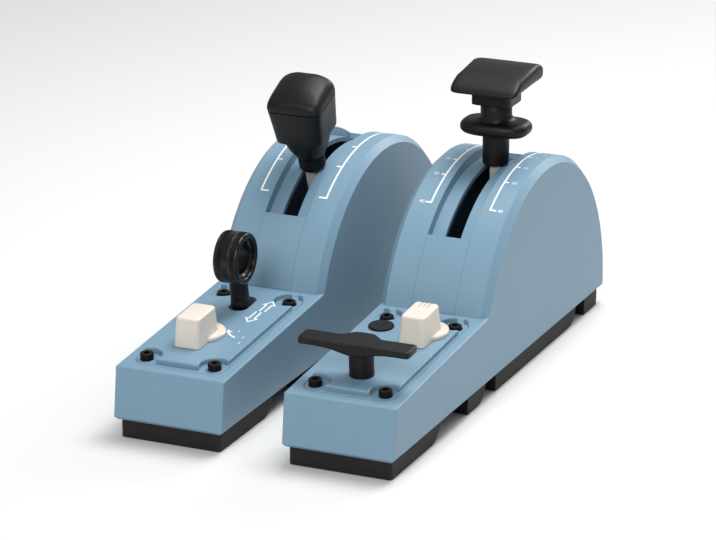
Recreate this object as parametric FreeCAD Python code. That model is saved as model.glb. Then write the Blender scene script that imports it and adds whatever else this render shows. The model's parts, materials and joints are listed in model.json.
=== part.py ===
import FreeCAD, Part
import math
import os
from FreeCAD import Placement, Rotation, Vector

# A desk-top pair of flight control modules. The left one carries a speed-brake lever, a
# landing-gear lever and a rotary knob; the right one carries a flaps lever with a lifting
# collar, a tee handle, a rotary knob and a push button. Millimetres, +Z up, +Y away from the
# user. Every piece is modelled in its module's own frame (x from the module's middle, y from
# its front edge, z from the desk) and moved to the shared frame when it is written.

# ---- overall sizes -------------------------------------------------------------------------
NOSE_L = 118.6          # front edge to the foremost point of the hump's full circle
WIDTH = 62.0            # housing, across
PITCH = 95.5            # middle of one module to the middle of the other
SKIRT_Z = 10.4          # lower edge of the blue housing above the desk
FRONT_TOP_Z = 38.9      # top edge of the leaning front face
FRONT_LEAN = 3.4        # how far the front face leans back
PANEL_TILT = 3.95       # degrees, control panel rising to the rear
ARCH_R = 92.7           # round hump
ARCH_Z = 16.9           # height of the hump's centre, which is also the lever pivot
ARCH_CHAMFER = 3.6
WALL = 2.4
SKIRT_BEVEL = 1.8
EDGE_R = 1.0

# ---- lever channel -------------------------------------------------------------------------
CHANNEL_W = 24.8
CHANNEL_DEPTH = 5.0
CHANNEL_FRONT = 45.0        # sunk channel and slot, degrees from upright to the user
CHANNEL_REAR = 31.0         # and to the rear
STRIP_END_ANGLE = 70.7      # degrees either side of upright, where the strip meets the panel
STRIP_T = 2.4
SEAM = 0.1
SLOT_W = 9.0

# ---- control panel, in the panel's own tilted frame ----------------------------------------
PLATE_SIDE = 5.7        # housing's side to the plate's side
PLATE_Y0 = 6.2
PLATE_REAR = 3.4        # plate's rear end before the end of the nose
PLATE_CORNER = 8.4
PLATE_T = 2.4
DECK_INSET = 1.2
DECK_FRONT = 3.0
DECK_REAR = 2.8
DECK_H = 2.8
DECK_CHAMFER = 0.5
SCALLOP_R = 8.2
SCREW_INSET = 5.9       # screw's middle to the plate's side
SCREW_FRONT = 7.2
SCREW_REAR = 10.8
SCREW_R = 2.0
SCREW_HEAD_R = 3.6
SCREW_HEAD_H = 3.6
SCREW_HEX = 3.0
SCREW_L = 10.0
REAR_SINK = 1.6         # rear screws sit this much deeper, in counterbores
PLATE_GAP = 0.25

# ---- base ----------------------------------------------------------------------------------
BASE_GAP = 0.2          # base to the inside of the housing's walls
BASE_FRONT = 3.2
BASE_REAR = 7.0         # rear block's end to the housing's rear wall
BASE_TOP_T = 2.5
BASE_FLOOR = 2.2
BASE_RAIL = 10.4        # solid rail beside the pockets
FOOT_PROUD = 0.5        # rubber below the black base
FOOT_T = 1.8
FOOT_W = 10.0
FRONT_BLOCK = 57.0      # rear end of the first block
SMALL_BLOCK = (14.2, 0.8)     # the small block's ends, before and behind the end of the nose
LONG_BLOCK = (67.9, 43.2)     # the long block's ends, before and behind the pivot
REAR_BLOCK = 26.4       # last block's front end to the housing's rear wall
BLOCK_RUNOUT = 10.0     # length of the sloping rear face of a block
BASE_SCREW_INSET = 4.2  # screw's middle to the base's side
BASE_SCREW_R = 1.5
BASE_SCREW_HEAD_R = 2.8
INSERT_INSET = 8.4      # fixing insert's middle to the base's side
INSERT_FRONT = 48.0
INSERT_REAR = 34.7      # rear inserts behind the pivot
INSERT_R = 3.6
INSERT_BORE_R = 2.1
INSERT_L = 6.0

# ---- levers --------------------------------------------------------------------------------
AXLE_R = 4.0
RUN = 0.05              # radial running clearance
CLEAR = 0.3             # gap between pieces that pass each other
HUB_R = 10.0
HUB_T = 8.0
ARM_T = 3.0             # tang inside the sleeve
ARM_W = 8.0
BAR_W = 8.4             # bar below the sleeve, front to rear
BRAKE_BAR = (-3.0, 3.0)     # and from side to side
FLAPS_BAR = (-1.7, 4.2)     # leaves room for the release rod beside it
SLEEVE_LIFT = 0.4       # both lever sleeves begin this far above the channel's floor
CHEEK_X = 11.0
CHEEK_T = 3.0
SENSOR_R = 6.5
BRAKE_REST = 19.9       # degrees towards the user
FLAPS_MARKS = (32.5, 18.5, 8.2, -2.6, -11.3, -20.0)   # notches, degrees towards the user

module = {"left": -PITCH / 2, "right": PITCH / 2}
length = NOSE_L + 2 * ARCH_R
arch_y = length - ARCH_R
pivot = Vector(0, arch_y, ARCH_Z)
sleeve_r0 = ARCH_R - CHANNEL_DEPTH + SLEEVE_LIFT
base_top = SKIRT_Z + BASE_TOP_T
base_w = WIDTH - 2 * (WALL + BASE_GAP)
base_pocket_w = base_w - 2 * BASE_RAIL
base_screw_x = base_w / 2 - BASE_SCREW_INSET
base_screw_ys = (24.0, arch_y - 39.3, length - 16.0)
insert_x = base_w / 2 - INSERT_INSET
insert_ys = (INSERT_FRONT, arch_y + INSERT_REAR)
blocks = ((BASE_FRONT, FRONT_BLOCK), (NOSE_L - SMALL_BLOCK[0], NOSE_L + SMALL_BLOCK[1]),
          (arch_y - LONG_BLOCK[0], arch_y + LONG_BLOCK[1]), (length - REAR_BLOCK, length - BASE_REAR))
plate_w = WIDTH - 2 * PLATE_SIDE
plate_y1 = NOSE_L - PLATE_REAR
deck_w = plate_w - 2 * DECK_INSET
deck_y0, deck_y1 = PLATE_Y0 + DECK_FRONT, plate_y1 - DECK_REAR
screw_x = plate_w / 2 - SCREW_INSET
screw_ys = (PLATE_Y0 + SCREW_FRONT, plate_y1 - SCREW_REAR)
PANEL = Placement(Vector(0, FRONT_LEAN, FRONT_TOP_Z), Rotation(Vector(1, 0, 0), PANEL_TILT))


# ---- small helpers -------------------------------------------------------------------------
def box(x0, x1, y0, y1, z0, z1):
    return Part.makeBox(x1 - x0, y1 - y0, z1 - z0, Vector(x0, y0, z0))


def rod(r, z0, z1, x=0.0, y=0.0):
    return Part.makeCylinder(r, z1 - z0, Vector(x, y, z0))


def cross_rod(r, x0, x1, y=0.0, z=0.0):
    return Part.makeCylinder(r, x1 - x0, Vector(x0, y, z), Vector(1, 0, 0))


def tube(r_out, r_in, z0, z1, x=0.0, y=0.0):
    return rod(r_out, z0, z1, x, y).cut(rod(r_in, z0 - 1, z1 + 1, x, y))


def fuse(first, *rest):
    return first.fuse(list(rest)).removeSplitter()


def rounded_wire(width, depth, corner, z, x=0.0, y=0.0):
    """Rounded rectangle about (x, y) at height z: four lines and four quarter circles."""
    a, b, c = width / 2, depth / 2, corner
    middles = ((a - c, b - c), (c - a, b - c), (c - a, c - b), (a - c, c - b))
    edges = []
    start = None
    for i, (mx, my) in enumerate(middles):
        turn = math.radians(90 * i)
        points = [Vector(x + mx + c * math.cos(turn + t), y + my + c * math.sin(turn + t), z)
                  for t in (0, math.pi / 4, math.pi / 2)]
        if start is None:
            start = points[0]
        else:
            edges.append(Part.LineSegment(last, points[0]).toShape())
        edges.append(Part.Arc(*points).toShape())
        last = points[2]
    edges.append(Part.LineSegment(last, start).toShape())
    return Part.Wire(edges)


def rounded_block(width, depth, corner, z0, z1, x=0.0, y=0.0):
    return Part.Face(rounded_wire(width, depth, corner, z0, x, y)).extrude(Vector(0, 0, z1 - z0))


def loft(*wires):
    """Flat-sided loft through rounded rectangles that share their number of edges."""
    return Part.makeLoft(list(wires), True, True)


def profile_wire(points, x):
    """Closed outline in the YZ plane at x. A point given as a pair of points is an arc: the
    first is on it and the second is its end."""
    last = Vector(x, *points[0])
    edges = []
    for item in list(points[1:]) + [points[0]]:
        if isinstance(item[0], tuple):
            end = Vector(x, *item[1])
            edges.append(Part.Arc(last, Vector(x, *item[0]), end).toShape())
        else:
            end = Vector(x, *item)
            if end.distanceToPoint(last) < 1e-6:
                continue
            edges.append(Part.LineSegment(last, end).toShape())
        last = end
    return Part.Wire(edges)


def side_profile(points, x0, x1):
    """Extrude a closed YZ outline from x0 to x1."""
    return Part.Face(profile_wire(points, x0)).extrude(Vector(x1 - x0, 0, 0))


def polar(radius, angle):
    """(y, z) at a radius from the pivot and an angle in degrees from upright, + to the user."""
    a = math.radians(angle)
    return (arch_y - radius * math.sin(a), ARCH_Z + radius * math.cos(a))


def panel_z(y):
    return FRONT_TOP_Z + (y - FRONT_LEAN) * math.tan(math.radians(PANEL_TILT))


def fillet_edges(shape, radius, wanted):
    return shape.makeFillet(radius, [e for e in shape.Edges if wanted(e)])


def chamfer_edges(shape, size, wanted):
    return shape.makeChamfer(size, [e for e in shape.Edges if wanted(e)])


def ends(edge):
    return [v.Point for v in edge.Vertexes]


def at_z(z, tol=0.01):
    return lambda e: all(abs(p.z - z) < tol for p in ends(e))


def on_panel(shape):
    shape.Placement = PANEL.multiply(shape.Placement)
    return shape


def on_lever(shape, lean):
    """Move a shape drawn upright about the origin to the lever pivot, leaning to the user."""
    shape.Placement = Placement(pivot, Rotation(Vector(1, 0, 0), lean)).multiply(shape.Placement)
    return shape


def write(node, shape, side):
    shape = shape.copy()
    shape.translate(Vector(module[side], -length / 2, 0))
    shape.exportStep("parts/%s.step" % node)


# ---- housing -------------------------------------------------------------------------------
def nose_solid(inset, z0):
    """Front part: leaning front face and rising panel, up to the foot of the hump."""
    y_end = arch_y - math.sqrt((ARCH_R - ARCH_CHAMFER) ** 2 - (panel_z(arch_y / 2) - ARCH_Z) ** 2)
    lean = FRONT_LEAN / (FRONT_TOP_Z - SKIRT_Z)
    front = lambda z: (z - SKIRT_Z) * lean + inset
    top = FRONT_TOP_Z - inset
    rise = (y_end - FRONT_LEAN) * math.tan(math.radians(PANEL_TILT))
    half = WIDTH / 2 - inset
    return side_profile([(front(z0), z0), (front(top), top), (y_end, top + rise), (y_end, z0)],
                        -half, half)


def hump_solid(inset, z0):
    """Rear part: a round arch above a short upright rear wall, its rims chamfered."""
    half = WIDTH / 2 - inset

    def outline(radius, x):
        y_front = arch_y - math.sqrt(radius ** 2 - (ARCH_Z - SKIRT_Z) ** 2)
        return profile_wire([(y_front, z0), (y_front, SKIRT_Z),
                             ((arch_y, ARCH_Z + radius), (arch_y + radius, ARCH_Z)),
                             (arch_y + radius, z0)], x)

    r = ARCH_R - inset
    c = ARCH_CHAMFER
    return Part.makeLoft([outline(r - c, -half), outline(r, c - half),
                          outline(r, half - c), outline(r - c, half)], True, True)


def arch_band(r0, r1, a0, a1, half_width):
    """Part of a ring about the pivot between two radii and two angles from upright."""
    mid = (a0 + a1) / 2
    return side_profile([polar(r0, a0), polar(r1, a0), (polar(r1, mid), polar(r1, a1)),
                         polar(r0, a1), (polar(r0, mid), polar(r0, a0))], -half_width, half_width)


def bevelled_space():
    """The room that the housing may fill: its lower edge turns in on all four sides."""
    b = SKIRT_BEVEL

    def ring(inset, z):
        x, y0, y1 = WIDTH / 2 - inset, inset, length - inset
        return Part.makePolygon([Vector(x, y0, z), Vector(x, y1, z), Vector(-x, y1, z),
                                 Vector(-x, y0, z), Vector(x, y0, z)])

    lower = Part.makeLoft([ring(b, SKIRT_Z), ring(0, SKIRT_Z + b)], True, True)
    upper = box(-WIDTH, WIDTH, -1, length + 1, SKIRT_Z + b, ARCH_Z + ARCH_R + 1)
    return lower.fuse(upper)


def make_housing():
    """Blue moulding: nose and hump in one shell, open below, with a parallel-sided opening
    over the hump for the channel strip and a pocket with a window for the panel plate."""
    nose = nose_solid(0, SKIRT_Z)
    nose_edges = lambda e: (all(p.y < FRONT_LEAN + 0.1 for p in ends(e))
                            and abs(ends(e)[0].z - ends(e)[1].z) > 1
                            or max(p.z for p in ends(e)) > SKIRT_Z + 1
                            and abs(ends(e)[0].y - ends(e)[1].y) > length / 4
                            or all(abs(p.z - FRONT_TOP_Z) < 0.01 for p in ends(e)))
    nose = fillet_edges(nose, EDGE_R, nose_edges)
    body = fuse(nose, hump_solid(0, SKIRT_Z)).common(bevelled_space())
    body = body.cut(nose_solid(WALL, SKIRT_Z - 1)).cut(hump_solid(WALL, SKIRT_Z - 1))

    # flanges beside the channel, then the opening between them
    flange_half = CHANNEL_W / 2 + WALL
    flange = arch_band(ARCH_R - CHANNEL_DEPTH - STRIP_T - 1, ARCH_R - WALL / 2,
                       -STRIP_END_ANGLE, STRIP_END_ANGLE, flange_half)
    opening = arch_band(ARCH_R / 2, ARCH_R + 10, -STRIP_END_ANGLE, STRIP_END_ANGLE, CHANNEL_W / 2)
    body = body.fuse(flange).cut(opening)

    # pocket for the plate, window behind it, bosses for its screws
    pocket_w = plate_w + 2 * PLATE_GAP
    y0, y1 = PLATE_Y0 - PLATE_GAP, plate_y1 + PLATE_GAP
    mid, span = (y0 + y1) / 2, y1 - y0
    floor = PLATE_T + WALL
    bed = rounded_block(pocket_w + 2 * WALL, span + 2 * WALL, PLATE_CORNER + WALL, -floor, -1, 0, mid)
    window = rounded_block(pocket_w - 3.0, span - 2 * (screw_ys[0] + SCREW_HEAD_R - y0),
                           WALL, -floor - 20, 1, 0, mid)
    bosses = [rod(SCREW_R + WALL, -SCREW_L - 3, -PLATE_T, sx * screw_x, sy)
              for sx in (-1, 1) for sy in screw_ys]
    holes = [rod(SCREW_R + RUN, -SCREW_L - REAR_SINK - 0.4, 5, sx * screw_x, sy)
             for sx in (-1, 1) for sy in screw_ys]
    pocket = rounded_block(pocket_w, span, PLATE_CORNER, -PLATE_T, 5, 0, mid)
    body = body.fuse([on_panel(s) for s in [bed] + bosses])
    for tool in [window, pocket] + holes:
        body = body.cut(on_panel(tool))

    # bosses for the screws that come up through the base
    boss_r = WIDTH / 2 - WALL - base_screw_x + 0.4
    for y in base_screw_ys:
        for sx in (-1, 1):
            body = body.fuse(rod(boss_r, base_top, base_top + 14, sx * base_screw_x, y))
            body = body.cut(rod(BASE_SCREW_R + RUN, base_top - 1, base_top + 9, sx * base_screw_x, y))
    return body.removeSplitter()


def make_strip():
    """Strip between the two seams: flush with the hump low down, then a sunk floor with the
    lever slot from one side of the top to the other."""
    a, r, b = CHANNEL_FRONT, CHANNEL_REAR, STRIP_END_ANGLE
    mid = (a - r) / 2
    low_r = ARCH_R - CHANNEL_DEPTH
    inner = low_r - STRIP_T
    step = math.degrees(STRIP_T / ARCH_R)
    half = CHANNEL_W / 2 - SEAM
    c = b - math.degrees(SEAM / ARCH_R)
    outline = [polar(ARCH_R, c), (polar(ARCH_R, (a + c) / 2), polar(ARCH_R, a)), polar(low_r, a),
               (polar(low_r, mid), polar(low_r, -r)), polar(ARCH_R, -r),
               (polar(ARCH_R, -(r + c) / 2), polar(ARCH_R, -c)), polar(ARCH_R - STRIP_T, -c),
               (polar(ARCH_R - STRIP_T, -(r + c) / 2), polar(ARCH_R - STRIP_T, -r - step)),
               polar(inner, -r - step), (polar(inner, mid), polar(inner, a + step)),
               polar(ARCH_R - STRIP_T, a + step),
               (polar(ARCH_R - STRIP_T, (a + c) / 2), polar(ARCH_R - STRIP_T, c))]
    strip = side_profile(outline, -half, half)
    return strip.cut(arch_band(inner - 10, low_r + 10, -r, a, SLOT_W / 2))


def make_plate(cuts):
    """Raised panel plate: a flange with round ears for the screws and a deck scalloped round
    their heads, hollow below."""
    mid = (PLATE_Y0 + plate_y1) / 2
    flange = rounded_block(plate_w, plate_y1 - PLATE_Y0, PLATE_CORNER, -PLATE_T, 0, 0, mid)
    deck_mid = (deck_y0 + deck_y1) / 2
    deck = rounded_block(deck_w, deck_y1 - deck_y0, 1.0, -1, DECK_H, 0, deck_mid)
    deck = chamfer_edges(deck, DECK_CHAMFER, at_z(DECK_H))
    for sx in (-1, 1):
        for y in screw_ys:
            deck = deck.cut(rod(SCALLOP_R, -2, DECK_H + 1, sx * screw_x, y))
            lead = Part.makeCone(SCALLOP_R, SCALLOP_R + 2 * DECK_CHAMFER, 2 * DECK_CHAMFER,
                                 Vector(sx * screw_x, y, DECK_H - DECK_CHAMFER))
            deck = deck.cut(lead)
    plate = flange.fuse(deck)
    for sx in (-1, 1):
        for y in screw_ys:
            plate = plate.cut(rod(SCREW_R + RUN, -PLATE_T - 1, 1, sx * screw_x, y))
        plate = plate.cut(rod(SCREW_HEAD_R + 0.5, -REAR_SINK, 1, sx * screw_x, screw_ys[1]))
    for tool in cuts:
        plate = plate.cut(tool)
    return on_panel(plate.removeSplitter())


def make_panel_screws():
    """Four socket-head screws, the rear two sunk into the plate."""
    screws = []
    for sx in (-1, 1):
        for y in screw_ys:
            head = rod(SCREW_HEAD_R, 0, SCREW_HEAD_H, sx * screw_x, y)
            head = chamfer_edges(head, 0.35, at_z(SCREW_HEAD_H))
            corners = [Vector(sx * screw_x + SCREW_HEX / math.sqrt(3) * math.cos(math.radians(60 * k)),
                              y + SCREW_HEX / math.sqrt(3) * math.sin(math.radians(60 * k)),
                              SCREW_HEAD_H - 2) for k in range(7)]
            socket = Part.Face(Part.makePolygon(corners)).extrude(Vector(0, 0, 3))
            shank = rod(SCREW_R, -SCREW_L, 0, sx * screw_x, y)
            screw = fuse(head, shank).cut(socket)
            if y == screw_ys[1]:
                screw.translate(Vector(0, 0, -REAR_SINK))
            screws.append(on_panel(screw))
    return Part.makeCompound(screws)


# ---- base ----------------------------------------------------------------------------------
def make_base():
    """Black tray: a lid inside the housing's lower edge and four hollow blocks below it. The
    rear face of each block slopes up; the gaps between them run right across."""
    lid_front = nose_inner_front(SKIRT_Z) + CLEAR
    lid_rear = length - WALL - ARCH_CHAMFER - CLEAR
    half = base_w / 2
    tray = box(-half, half, lid_front, lid_rear, SKIRT_Z, base_top)
    for y0, y1 in blocks:
        run = min(BLOCK_RUNOUT, lid_rear - y1)
        tray = tray.fuse(side_profile([(y0, FOOT_PROUD), (y1, FOOT_PROUD),
                                       ((y1 + run * 0.75, SKIRT_Z * 0.45), (y1 + run, SKIRT_Z)),
                                       (y1 + run, base_top), (y0, base_top)], -half, half))
    tray = tray.removeSplitter()
    corner = lambda e: (abs(ends(e)[0].z - ends(e)[1].z) > SKIRT_Z / 2
                        and all(abs(p.y - BASE_FRONT) < 0.01 for p in ends(e)))
    tray = fillet_edges(tray, 2.0, corner)
    for y0, y1 in blocks:
        tray = tray.cut(box(-base_pocket_w / 2, base_pocket_w / 2, y0 + WALL, y1 - WALL,
                            FOOT_PROUD + BASE_FLOOR, base_top + 1))
    tray = tray.cut(cross_rod(SENSOR_R + RUN, CHEEK_X + CHEEK_T, CHEEK_X + CHEEK_T + 12, arch_y, ARCH_Z))
    for x, y in foot_places():
        tray = tray.cut(rounded_block(FOOT_W, FOOT_W, 2, 0, FOOT_T, x, y))
    for sx in (-1, 1):
        for y in base_screw_ys:
            x = sx * base_screw_x
            tray = tray.cut(rod(BASE_SCREW_HEAD_R + RUN, 0, SKIRT_Z, x, y))
            tray = tray.cut(rod(BASE_SCREW_R + RUN, 0, base_top + 1, x, y))
        for y in insert_ys:
            x = sx * insert_x
            tray = tray.fuse(rod(INSERT_R + WALL, FOOT_PROUD, FOOT_PROUD + INSERT_L + 2, x, y))
            tray = tray.cut(rod(INSERT_R, 0, FOOT_PROUD + INSERT_L, x, y))
    return tray.removeSplitter()


def nose_inner_front(z):
    return WALL + (z - SKIRT_Z) * FRONT_LEAN / (FRONT_TOP_Z - SKIRT_Z)


def foot_places():
    """Centres of the rubber feet: a pair near each end of the first, third and last block."""
    inset = FOOT_W / 2 + 3
    x = base_w / 2 - inset
    front, _, long_block, rear = blocks
    rows = (front[0] + inset + 6, long_block[0] + inset, long_block[1] - inset - 12, rear[0] + inset - 1)
    return [(sx * (x - 6), y) for sx in (-1, 1) for y in rows]


def make_feet():
    return Part.makeCompound([rounded_block(FOOT_W - 0.2, FOOT_W - 0.2, 1.9, 0, FOOT_T, x, y)
                              for x, y in foot_places()])


def make_base_screws():
    screws = []
    for sx in (-1, 1):
        for y in base_screw_ys:
            x = sx * base_screw_x
            head = rod(BASE_SCREW_HEAD_R, SKIRT_Z - 2.4, SKIRT_Z, x, y)
            cross = box(x - 1.6, x + 1.6, y - 0.4, y + 0.4, SKIRT_Z - 3, SKIRT_Z - 1.4)
            cross = cross.fuse(box(x - 0.4, x + 0.4, y - 1.6, y + 1.6, SKIRT_Z - 3, SKIRT_Z - 1.4))
            screws.append(head.fuse(rod(BASE_SCREW_R, SKIRT_Z, base_top + 8, x, y)).cut(cross))
    return Part.makeCompound(screws)


def make_inserts():
    return Part.makeCompound([tube(INSERT_R, INSERT_BORE_R, FOOT_PROUD, FOOT_PROUD + INSERT_L, sx * insert_x, y)
                              for sx in (-1, 1) for y in insert_ys])


# ---- lever mechanism, shared by both modules -----------------------------------------------
def make_bracket():
    """U-shaped carrier standing in the long block: two cheeks with the axle between them, a
    tie at the bottom and two foot tabs on each side."""
    out = CHEEK_X + CHEEK_T
    pocket_floor = FOOT_PROUD + BASE_FLOOR
    reach = HUB_R + 6
    tie = box(-out, out, arch_y - reach, arch_y + reach, pocket_floor, pocket_floor + 2)
    bracket = tie
    for sx in (-1, 1):
        x0, x1 = sorted((sx * CHEEK_X, sx * out))
        cheek = cross_rod(HUB_R + 4, x0, x1, arch_y, ARCH_Z)
        cheek = cheek.fuse(box(x0, x1, arch_y - reach, arch_y + reach, pocket_floor, ARCH_Z - 2))
        f0, f1 = sorted((sx * CHEEK_X, sx * (base_pocket_w / 2 + 5)))
        tabs = [box(f0, f1, min(ya, yb), max(ya, yb), base_top, base_top + 2)
                for ya, yb in ((arch_y - reach, arch_y - HUB_R + 1), (arch_y + reach, arch_y + HUB_R - 1))]
        bracket = bracket.fuse([cheek] + tabs)
    bracket = bracket.cut(cross_rod(HUB_R + 2, -CHEEK_X, CHEEK_X, arch_y, ARCH_Z))
    bracket = bracket.cut(cross_rod(AXLE_R, -out - 1, out + 1, arch_y, ARCH_Z))
    return bracket.removeSplitter()


def make_axle():
    end = CHEEK_X + CHEEK_T + 5
    axle = cross_rod(AXLE_R, -end, end, arch_y, ARCH_Z)
    return chamfer_edges(axle, 0.6, lambda e: len(e.Vertexes) == 1 and abs(abs(ends(e)[0].x) - end) < 0.01)


def make_axle_nuts():
    """A hexagon nut on each threaded end of the axle."""
    nuts = []
    across = 13.0
    out = CHEEK_X + CHEEK_T
    for x0 in (-out - 4, out):
        corners = [Vector(x0, arch_y + across / math.sqrt(3) * math.cos(math.radians(60 * k)),
                          ARCH_Z + across / math.sqrt(3) * math.sin(math.radians(60 * k))) for k in range(7)]
        nut = Part.Face(Part.makePolygon(corners)).extrude(Vector(4, 0, 0))
        nuts.append(nut.cut(cross_rod(AXLE_R, x0 - 1, x0 + 5, arch_y, ARCH_Z)))
    return Part.makeCompound(nuts)


def make_friction_washers():
    """A friction washer on each side of the hub, each backed by a spacer on the axle."""
    rings = []
    for sx in (-1, 1):
        for r, near, far in ((HUB_R - 0.5, HUB_T / 2 + CLEAR, HUB_T / 2 + 1.8),
                             (AXLE_R + 2, HUB_T / 2 + 1.8, CHEEK_X)):
            x0, x1 = sorted((sx * near, sx * far))
            ring = cross_rod(r, x0, x1, arch_y, ARCH_Z)
            rings.append(ring.cut(cross_rod(AXLE_R, x0 - 1, x1 + 1, arch_y, ARCH_Z)))
    left = rings[0].fuse(rings[1])
    right = rings[2].fuse(rings[3])
    return Part.makeCompound([left, right])


def make_arm(lean, top, bar_x):
    """Steel lever: a round hub that turns on the axle, a bar up to the sleeve and a thinner
    tang inside it."""
    tang = box(-ARM_T / 2, ARM_T / 2, -ARM_W / 2, ARM_W / 2, HUB_R / 2, top)
    bar = box(*bar_x, -BAR_W / 2, BAR_W / 2, HUB_R + 2, sleeve_r0 - CLEAR)
    hub = cross_rod(HUB_R, -HUB_T / 2, HUB_T / 2)
    arm = fuse(tang, bar, hub).cut(cross_rod(AXLE_R + RUN, -HUB_T, HUB_T))
    return on_lever(arm, lean)


def make_sensor():
    """Angle sensor at the end of the axle, lying in a round seat in the base."""
    x0 = CHEEK_X + CHEEK_T + 5 + CLEAR
    can = cross_rod(SENSOR_R, x0, x0 + 5, arch_y, ARCH_Z)
    socket = box(x0 + 1, x0 + 4, arch_y - 3, arch_y + 3, ARCH_Z + SENSOR_R - 1, ARCH_Z + SENSOR_R + 3)
    return fuse(can, socket)


def make_board():
    """Circuit board on four posts above the base's lid, with two chips and a connector."""
    z = base_top + 4
    y0, y1 = blocks[0][1] + 4, blocks[1][1] + 2
    half = base_w / 2 - 8
    posts = [rod(2.2, base_top, z, sx * (half - 4), y) for sx in (-1, 1) for y in (y0 + 10, y1 - 4)]
    board = box(-half, half, y0, y1, z, z + 1.6)
    chips = [box(-6, 6, y0 + 18, y0 + 30, z + 1.6, z + 3.2), box(8, 16, y0 + 14, y0 + 22, z + 1.6, z + 2.8),
             box(-14, 2, y1 - 9, y1 - 3, z + 1.6, z + 8)]
    return board.fuse(posts + chips).removeSplitter()


# ---- speed-brake lever, drawn upright about the pivot --------------------------------------
BAND_R = 7.4            # lower band of the sleeve
BAND_H = 8.4
STEM_R = 4.9            # tube that the knob slides on
KNOB_PULL = 5.0
KNOB_Z = sleeve_r0 + 23.1     # underside of the block-shaped knob
KNOB_H = 20.8
KNOB_FOOT = (27.0, 26.5)
KNOB_HEAD = (31.2, 28.0)
CAP_RISE = 12.4
KNOB_CORNER = 3.0


def make_brake_sleeve():
    """Black lower band with a rounded end, and the tube above it inside the knob."""
    z1 = sleeve_r0 + BAND_H
    band = rod(BAND_R, sleeve_r0, z1)
    band = fillet_edges(band, 2.4, at_z(sleeve_r0))
    stem = rod(STEM_R, z1, KNOB_Z + 7)
    sleeve = fuse(band, stem)
    bore = fuse(box(-ARM_T / 2 - RUN, ARM_T / 2 + RUN, -ARM_W / 2 - RUN, ARM_W / 2 + RUN, sleeve_r0 - 1, KNOB_Z + 8))
    return on_lever(sleeve.cut(bore), BRAKE_REST)


def make_brake_knob():
    """Tapered block with a necked lower part, bored for the tube that it slides on."""
    z0 = sleeve_r0 + BAND_H + CLEAR
    w0, d0 = KNOB_FOOT
    w1, d1 = KNOB_HEAD
    neck = loft(rounded_wire(2 * BAND_R, 2 * BAND_R, BAND_R - 0.6, z0), rounded_wire(19.6, 17.0, 5.5, KNOB_Z - 4.4),
                rounded_wire(21.6, 18.4, 4.6, KNOB_Z))
    body = loft(rounded_wire(w0 - 2.4, d0 - 2.4, KNOB_CORNER, KNOB_Z), rounded_wire(w0, d0, KNOB_CORNER, KNOB_Z + 1.2),
                rounded_wire(w1, d1, KNOB_CORNER, KNOB_Z + KNOB_H))
    knob = fuse(body, neck)
    hole = rod(STEM_R + RUN, z0 - 1, KNOB_Z + 7 + KNOB_PULL + CLEAR)
    screw = tube(2.5, 1.2, KNOB_Z + 14.5, KNOB_Z + KNOB_H + 1)
    return on_lever(knob.cut(hole).cut(screw), BRAKE_REST)


def make_brake_cap():
    """Crowned cap that closes the top of the knob."""
    z0 = KNOB_Z + KNOB_H
    w, d = KNOB_HEAD
    grow = 0.5
    cap = loft(rounded_wire(w, d, KNOB_CORNER, z0), rounded_wire(w + grow, d + grow, KNOB_CORNER, z0 + 1.6))
    crown = Part.makeLoft([rounded_wire(w + grow, d + grow, KNOB_CORNER, z0 + 1.6),
                           rounded_wire(w - 1.0, d - 1.0, KNOB_CORNER + 0.8, z0 + 4.8),
                           rounded_wire(w - 4.6, d - 4.6, KNOB_CORNER + 1.6, z0 + 8.2),
                           rounded_wire(w - 11.5, d - 11.5, KNOB_CORNER + 1.8, z0 + 10.9),
                           rounded_wire(w - 21, d - 20, KNOB_CORNER - 0.4, z0 + CAP_RISE)], True, True)
    return on_lever(fuse(cap, crown), BRAKE_REST)


# ---- landing-gear lever, drawn upright about its own pivot ---------------------------------
GEAR_X = -1.5
GEAR_Y = NOSE_L - 24.6
GEAR_DEPTH = 11.3       # pivot below the deck
GEAR_REACH = 40.7       # pivot to the wheel's centre
GEAR_REST = 12.1
TYRE_R = 14.0
TYRE_W = 13.9
TYRE_BORE = 10.8
RIM_BORE = 8.6
STEM_R = 4.5
STEM_COLLAR_R = 5.0
PIN_R = 1.5
SLOT_L = 20.4
SLOT_ACROSS = 10.6


def on_gear(shape, lean):
    """Move a shape drawn upright about the origin to the gear lever's pivot."""
    z = panel_z(GEAR_Y) + DECK_H - GEAR_DEPTH
    place = Placement(Vector(GEAR_X, GEAR_Y, z), Rotation(Vector(1, 0, 0), lean))
    shape.Placement = place.multiply(shape.Placement)
    return shape


def make_gear_tyre():
    """Tyre-shaped grip: two treads with a smooth band between them, open through the middle."""
    w = TYRE_W / 2
    groove = 0.35
    points = [(TYRE_BORE, -w), (TYRE_R - 1.4, -w), (TYRE_R, 0.9 - w), (TYRE_R, -2.0), (TYRE_R - groove, -1.7),
              (TYRE_R - groove, 1.7), (TYRE_R, 2.0), (TYRE_R, w - 0.9), (TYRE_R - 1.4, w), (TYRE_BORE, w)]
    wire = Part.makePolygon([Vector(x, r, 0) for r, x in points + points[:1]])
    tyre = Part.Face(wire).revolve(Vector(0, 0, 0), Vector(1, 0, 0), 360)
    tyre.translate(Vector(0, 0, GEAR_REACH))
    return on_gear(tyre, GEAR_REST)


def make_gear_rim():
    """Ring inside the tyre, set in from both faces."""
    w = TYRE_W / 2 - 1.6
    points = [(RIM_BORE, -w + 1.2), (RIM_BORE + 0.9, -w), (TYRE_BORE, -w), (TYRE_BORE, w), (RIM_BORE + 0.9, w),
              (RIM_BORE, w - 1.2)]
    wire = Part.makePolygon([Vector(x, r, 0) for r, x in points + points[:1]])
    rim = Part.Face(wire).revolve(Vector(0, 0, 0), Vector(1, 0, 0), 360)
    rim.translate(Vector(0, 0, GEAR_REACH))
    return on_gear(rim, GEAR_REST)


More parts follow.
